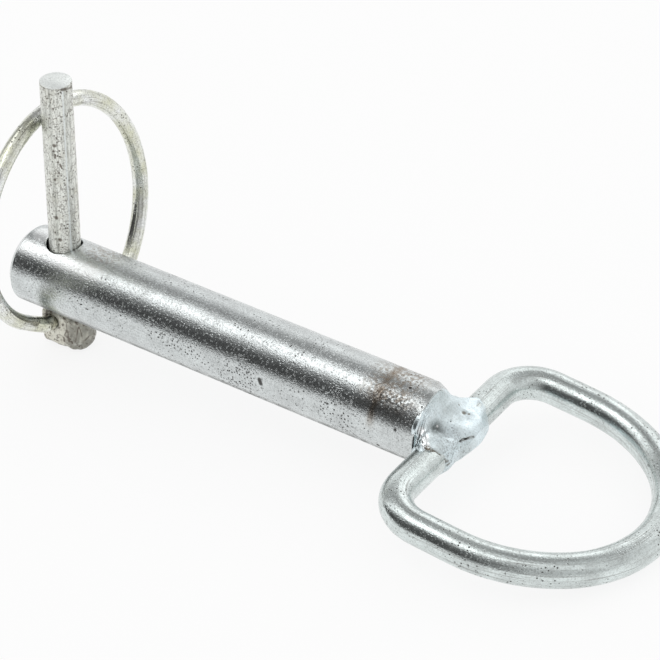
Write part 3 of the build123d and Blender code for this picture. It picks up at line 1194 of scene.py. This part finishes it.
def weld_skin(look):
    """Smooth pale plating over the weld, with bright ripples, a grey pool and burnt spots."""
    skin = zinc_skin("weld_zinc_skin", look, 0.012, (0.36, 0.5), 0.25, 0.0, 0.1)
    ripples = skin.mark((110.2, -5.4, 7.6), (110.4, -9.6, 2.4), reach=3.2)
    pool = skin.times(
        skin.mark(*POOL, reach=2.6, soft=0.7), skin.cloud(1.1, 3.0, 0.6, low=0.0, high=0.5)
    )
    peak = skin.marks(
        (*PEAK, 1.7), ((112.7, -4.3, 4.1), 0.5), ((110.6, -8.3, 4.5), (113.8, -11.0, 3.2), 1.2)
    )
    toe = skin.times(
        skin.marks((*FRONT_TOE, 0.75), ((118.1, 10.4, -1.5), 1.3)),
        skin.cloud(0.7, 3.0, 0.6, low=0.36, high=0.5),
    )
    side = skin.times(
        skin.mark((117.0, -5.0, -1.0), reach=7.0), skin.cloud(0.5, 3.0, 0.6, low=0.5, high=0.62)
    )
    burn = skin.any_of(
        skin.marks((*BURN, 0.7), ((115.5, 5.0, 2.9), 0.4), ((112.7, 5.0, 4.4), 0.3)),
        skin.times(skin.mark(*CRACK, reach=0.5), 0.5),
    )
    black = skin.marks(
        (*CRACK, 0.32), (*UNDERCUT, 0.3), (*BACK_TOE, 0.2),
        ((113.9, -0.6, 3.6), 0.25), ((115.1, -1.9, 3.2), 0.25),
    )
    skin.paint(pool, 1.0, look.pool)
    skin.paint(peak, 0.7, look.bright)
    skin.paint(toe, 0.85, look.rust)
    skin.paint(side, 0.6, look.line)
    skin.paint(burn, 0.75, look.rust)
    skin.paint(black, 0.92, look.pit)
    skin.roughen(skin.any_of(ripples, pool, peak), -0.24)
    skin.roughen(skin.any_of(toe, burn, black), 0.25)
    return skin.finish()


class HITCHPIN_OT_weld(bpy.types.Operator):
    """Build the weld bead between the bar and the rod"""

    bl_idname = "hitchpin.weld"
    bl_label = "Weld Bead"

    def execute(self, context):
        look = context.scene.hitch_pin_look.weld
        piece = put_down("weld_lump", weld_mesh(), "weld_zinc", "hitch_pin", "weld_bead")
        piece.data.materials.append(weld_skin(look))
        return {"FINISHED"}


# The stage


# The room as the metal mirrors it: the turn in degrees over the top of the object from
# behind it, and how bright it is there
ROOM = (
    (-180, 0.6), (0, 0.58), (13, 0.62), (28, 0.76), (40, 0.68), (52, 0.42), (60, 0.26),
    (72, 0.26), (84, 0.3), (93, 0.5), (102, 0.78), (114, 0.95), (120, 0.4), (132, 0.15),
    (142, 0.05), (174, 0.05), (178, 0.12), (180, 0.6),
)
ROOM_LIGHT = 1.45
OPEN_SIDE_LIGHT = 0.8
PLAIN_LIGHT = 0.85
FLOOR_GLOW = 0.85
FLOOR_REACH = 3.0


def lay_floor(look):
    """A pale floor that keeps the shadow, and shines plainly as the background does."""
    mesh = bpy.data.meshes.new("floor")
    bm = bmesh.new()
    bmesh.ops.create_grid(bm, x_segments=1, y_segments=1, size=FLOOR_REACH)
    bm.to_mesh(mesh)
    bm.free()
    floor = bpy.data.objects.new("floor", mesh)
    bpy.context.scene.collection.objects.link(floor)
    material = bpy.data.materials.new("floor_paper")
    material.use_nodes = True
    tree = material.node_tree
    tree.nodes.remove(tree.nodes["Principled BSDF"])
    path = add_node(tree, "LightPath").outputs
    seen = maths(tree, "MAXIMUM", path["Is Camera Ray"], path["Is Glossy Ray"])
    seen = maths(tree, "MAXIMUM", seen, path["Is Transmission Ray"])
    paper = add_node(tree, "BsdfDiffuse", {"Color": rgba(look.floor)}).outputs[0]
    glow = add_node(tree, "Emission", {"Strength": 1.0}).outputs[0]
    share = maths(tree, "MULTIPLY", seen, FLOOR_GLOW)
    mix = add_node(tree, "MixShader", {0: share, 1: paper, 2: glow}).outputs[0]
    tree.links.new(mix, tree.nodes["Material Output"].inputs["Surface"])
    mesh.materials.append(material)


def soft_box(name, place, width, height, power):
    """A soft lamp that looks at the object."""
    lamp = bpy.data.lights.new(name, "AREA")
    lamp.shape = "RECTANGLE"
    lamp.size = width
    lamp.size_y = height
    lamp.energy = power
    holder = bpy.data.objects.new(name, lamp)
    holder.location = place
    holder.rotation_euler = (-Vector(place)).to_track_quat("-Z", "Y").to_euler()
    bpy.context.scene.collection.objects.link(holder)


def wrap_world():
    """The room: white low down and behind, darker in front above the eye."""
    world = bpy.data.worlds.new("studio")
    bpy.context.scene.world = world
    world.use_nodes = True
    tree = world.node_tree
    shade = tree.nodes["Background"]
    shade.inputs["Color"].default_value = (1, 1, 1, 1)
    way = add_node(tree, "TexCoord").outputs["Generated"]
    parts = add_node(tree, "SeparateXYZ", {0: way}).outputs
    turn = maths(tree, "ARCTAN2", parts["Z"], parts["Y"])
    ramp = add_node(tree, "ValToRGB", {"Fac": spread(tree, turn, -pi, pi)})
    elements = ramp.color_ramp.elements
    while len(elements) < len(ROOM):
        elements.new(0.5)
    for element, (turned, bright) in zip(elements, ROOM):
        element.position = (turned + 180) / 360
        element.color = (bright, bright, bright, 1)
    room = maths(tree, "MULTIPLY", ramp.outputs["Color"], ROOM_LIGHT)
    open_side = spread(tree, parts["X"], 0.0, 0.6, 0.0, 0.7)
    room = blended(tree, open_side, room, OPEN_SIDE_LIGHT)
    path = add_node(tree, "LightPath").outputs
    light = blended(tree, path["Is Glossy Ray"], PLAIN_LIGHT, room)
    seen = maths(tree, "MAXIMUM", path["Is Camera Ray"], path["Is Transmission Ray"])
    feed(tree, shade.inputs["Strength"], blended(tree, seen, light, 1.0))


def place_camera(look):
    lens = bpy.data.cameras.new("camera")
    lens.sensor_width = 36.0
    lens.lens = look.focal_length
    lens.clip_start = 0.01
    camera = bpy.data.objects.new("camera", lens)
    bpy.context.scene.collection.objects.link(camera)
    place = Vector(look.camera_place)
    level = (Vector(look.camera_aim) - place).to_track_quat("-Z", "Y").to_matrix()
    roll = Matrix.Rotation(-look.camera_roll, 3, "Z")
    camera.matrix_world = Matrix.Translation(place) @ (level @ roll).to_4x4()
    bpy.context.scene.camera = camera


class HITCHPIN_OT_stage(bpy.types.Operator):
    """Lay the floor, hang the lamps and place the camera"""

    bl_idname = "hitchpin.stage"
    bl_label = "Stage"

    def execute(self, context):
        look = context.scene.hitch_pin_look.stage
        lay_floor(look)
        soft_box("key_box", (-0.3, -0.3, 1.1), 1.2, 0.35, 1.3)
        soft_box("fill_box", (0.2, 1.2, 0.8), 1.5, 0.8, 1.6)
        wrap_world()
        place_camera(look)
        context.scene.view_settings.view_transform = "Standard"
        return {"FINISHED"}


class HITCHPIN_PT_panel(bpy.types.Panel):
    """Lists the pieces and their sizes and colours"""

    bl_idname = "HITCHPIN_PT_panel"
    bl_label = "Hitch Pin"
    bl_space_type = "VIEW_3D"
    bl_region_type = "UI"
    bl_category = "Hitch Pin"

    def draw(self, context):
        looks = context.scene.hitch_pin_look
        for operator, group in PIECES:
            box = self.layout.box()
            box.operator(operator)
            settings = getattr(looks, group)
            for name in settings.bl_rna.properties.keys():
                if name not in ("rna_type", "name"):
                    box.prop(settings, name)


PIECES = (
    ("hitchpin.bar", "bar"),
    ("hitchpin.handle", "handle"),
    ("hitchpin.weld", "weld"),
    ("hitchpin.lynch_pin", "lynch_pin"),
    ("hitchpin.ring", "ring"),
    ("hitchpin.stage", "stage"),
)

CLASSES = (
    BarLook, HandleLook, RingLook, LynchPinLook, WeldLook, StageLook, HitchPinLook,
    HITCHPIN_OT_bar, HITCHPIN_OT_handle, HITCHPIN_OT_weld, HITCHPIN_OT_lynch_pin,
    HITCHPIN_OT_ring, HITCHPIN_OT_stage, HITCHPIN_PT_panel,
)


def register():
    for kind in CLASSES:
        bpy.utils.register_class(kind)
    bpy.types.Scene.hitch_pin_look = bpy.props.PointerProperty(type=HitchPinLook)


def unregister():
    del bpy.types.Scene.hitch_pin_look
    for kind in reversed(CLASSES):
        bpy.utils.unregister_class(kind)


def main():
    register()
    for operator, _ in PIECES:
        group, name = operator.split(".")
        getattr(getattr(bpy.ops, group), name)()


if __name__ == "__main__":
    main()
